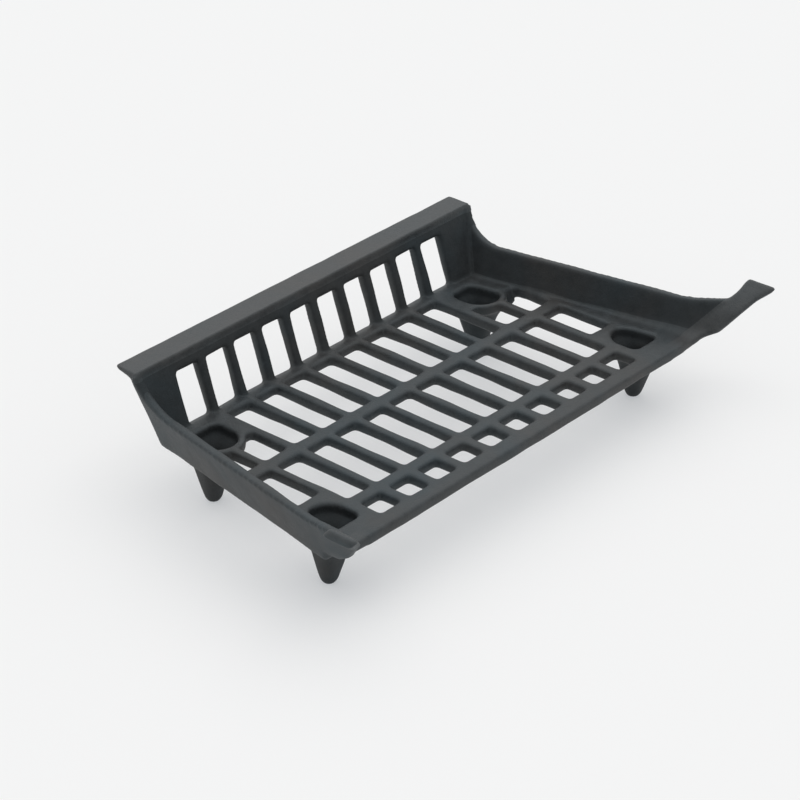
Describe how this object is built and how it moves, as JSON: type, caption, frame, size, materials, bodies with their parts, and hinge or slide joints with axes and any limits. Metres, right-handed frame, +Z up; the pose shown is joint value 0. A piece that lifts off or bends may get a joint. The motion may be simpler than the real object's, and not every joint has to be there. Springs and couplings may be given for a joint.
{
  "type": "fireplace log grate",
  "caption": "Cast log grate: slotted tray with a leaning slotted back and flat rim, low splayed sides, flared front ears and hollow tapering legs.",
  "frame": {"origin": "on the hearth, under the middle of the grate", "axes": "+Z up, +X to the right along the width as seen from the front, +Y to the back wall"},
  "size_m": [0.6098, 0.3496, 0.13],
  "materials": {
    "cast_iron": "matt black stove finish on sand-cast iron"
  },
  "bodies": {
    "root": {"floor_grate": "cast_iron", "back_wall": "cast_iron", "back_rim": "cast_iron", "front_lip": "cast_iron", "right_side_wall": "cast_iron", "left_side_wall": "cast_iron", "right_front_ear": "cast_iron", "left_front_ear": "cast_iron", "leg_front_left": "cast_iron", "leg_front_right": "cast_iron", "leg_rear_left": "cast_iron", "leg_rear_right": "cast_iron"}
  },
  "joints": []
}
